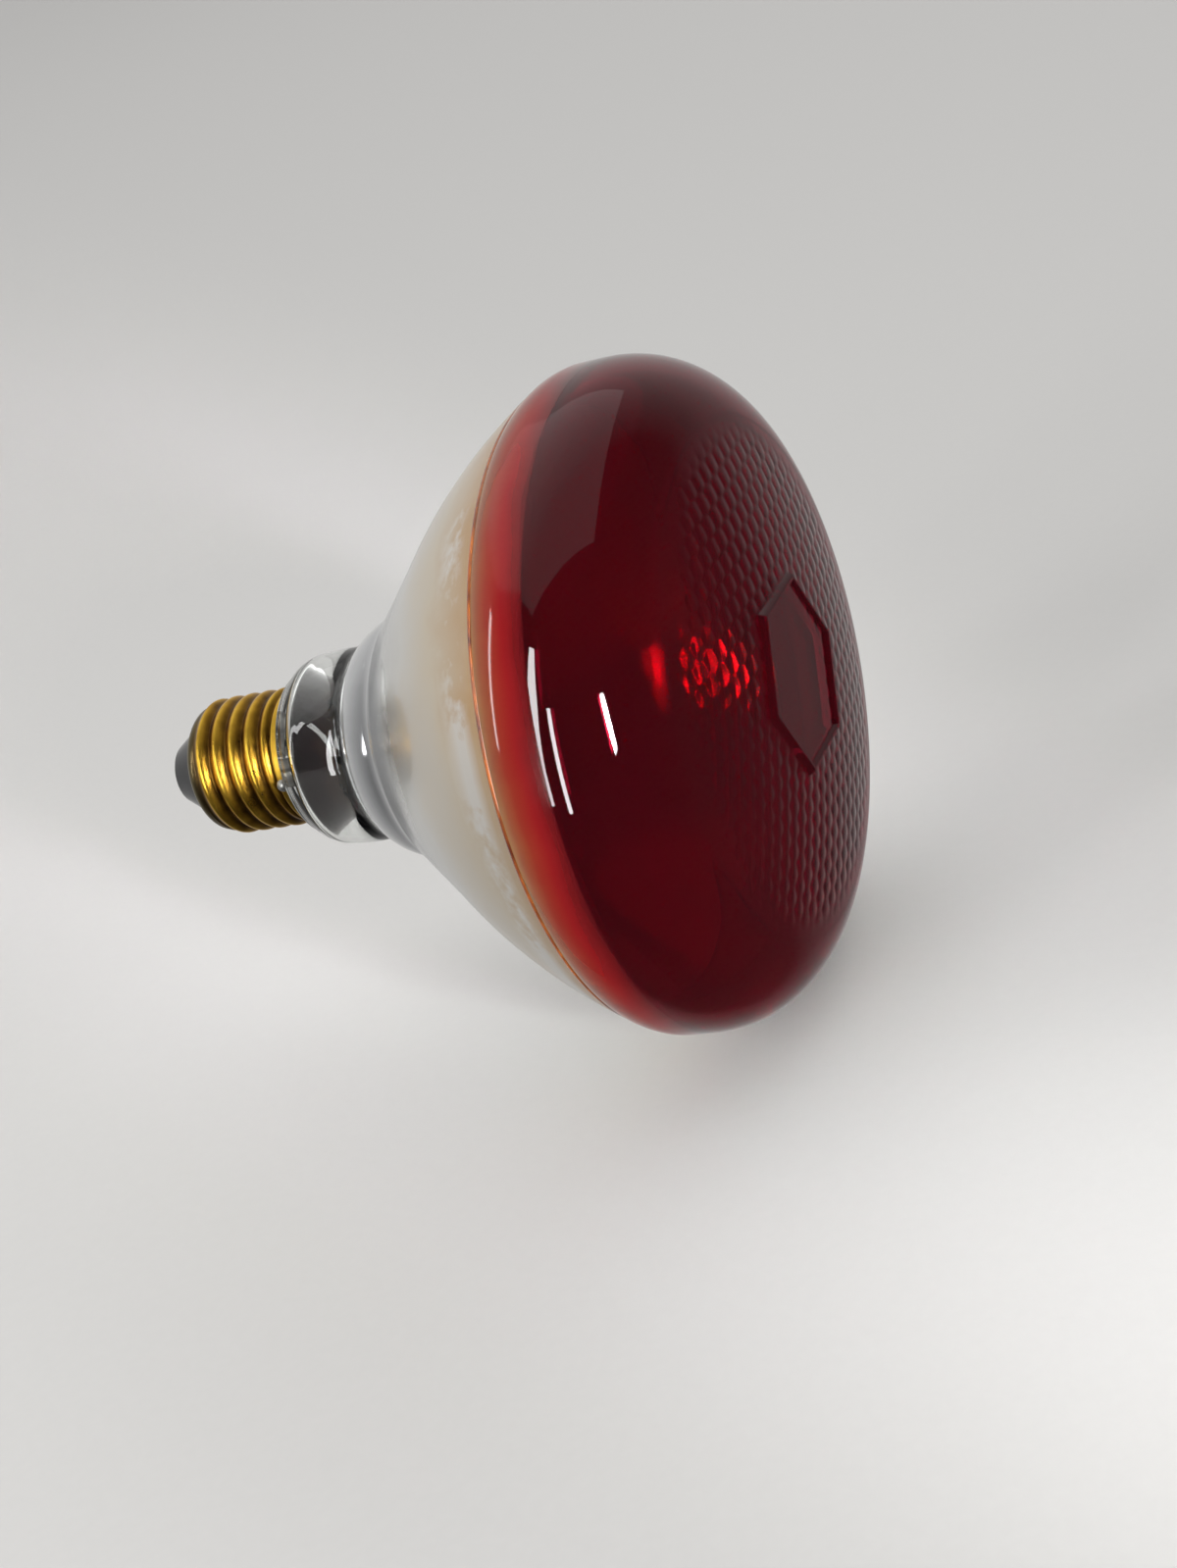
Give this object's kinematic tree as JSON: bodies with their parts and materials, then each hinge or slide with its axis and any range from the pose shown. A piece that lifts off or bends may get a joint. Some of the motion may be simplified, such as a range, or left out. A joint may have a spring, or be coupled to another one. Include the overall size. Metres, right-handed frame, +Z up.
{
  "type": "infrared heat lamp",
  "caption": "Sealed-beam infrared heat lamp: red domed glass lens on a mirrored glass bell, a clear glass neck and an Edison screw cap for a heat lamp holder.",
  "frame": {"origin": "middle of the flat outer end of the centre contact", "axes": "+X along the lamp's axis from the screw cap towards the lens, +Z up"},
  "size_m": [0.1285, 0.121, 0.121],
  "materials": {
    "brass": "rolled, lightly tarnished",
    "solder": "dull solder",
    "black_glass": "glossy black glass",
    "cement": "matt baked cement",
    "clear_glass": "clear pressed glass",
    "mirror": "bright evaporated aluminium",
    "dark_film": "dark glossy film",
    "seal": "amber brown sealing glass",
    "red_glass": "deep red pressed glass",
    "nickel_iron": "drawn nickel iron",
    "nickel": "drawn nickel wire",
    "molybdenum": "drawn molybdenum wire",
    "tungsten": "dark coiled tungsten wire"
  },
  "bodies": {
    "root": {"centre_contact": "brass", "contact_solder": "solder", "cap_insulator": "black_glass", "screw_shell": "brass", "side_solder": "solder", "basing_cement": "cement", "reflector_glass": "clear_glass", "mirror_coat": "mirror", "neck_film": "dark_film", "rim_seal": "seal", "lens": "red_glass", "live_ferrule": "nickel_iron", "neutral_ferrule": "nickel_iron", "exhaust_stub": "clear_glass", "live_lead": "nickel", "neutral_lead": "nickel", "fuse_sleeve": "clear_glass", "live_post": "nickel", "neutral_post": "nickel", "bridge_bead": "clear_glass", "neutral_hook": "molybdenum", "middle_hook": "molybdenum", "live_hook": "molybdenum", "filament": "tungsten", "live_clamp": "nickel", "neutral_clamp": "nickel"}
  },
  "joints": []
}
